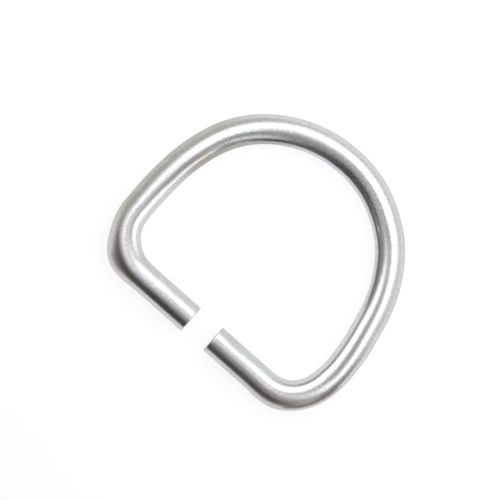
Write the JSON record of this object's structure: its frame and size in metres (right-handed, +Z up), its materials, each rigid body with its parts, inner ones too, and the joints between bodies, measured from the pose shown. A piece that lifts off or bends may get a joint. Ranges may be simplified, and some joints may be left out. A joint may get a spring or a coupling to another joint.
{
  "type": "d ring",
  "caption": "Open D ring of round plated wire: straight bar with a gap in its middle, two rounded corners, short legs and a round crown.",
  "frame": {"origin": "middle of the ring's outline, on the surface that the ring lies on", "axes": "+X along the straight bar, from the tighter corner to the wider one; +Y from the bar to the crown; +Z up, through the eye"},
  "size_m": [0.048, 0.0417, 0.005],
  "materials": {
    "plated_wire": "bright nickel plate over drawn steel wire, fine orange-peel grain, faint warm and blue tints"
  },
  "bodies": {
    "root": {"wire_ring": "plated_wire"}
  },
  "joints": []
}
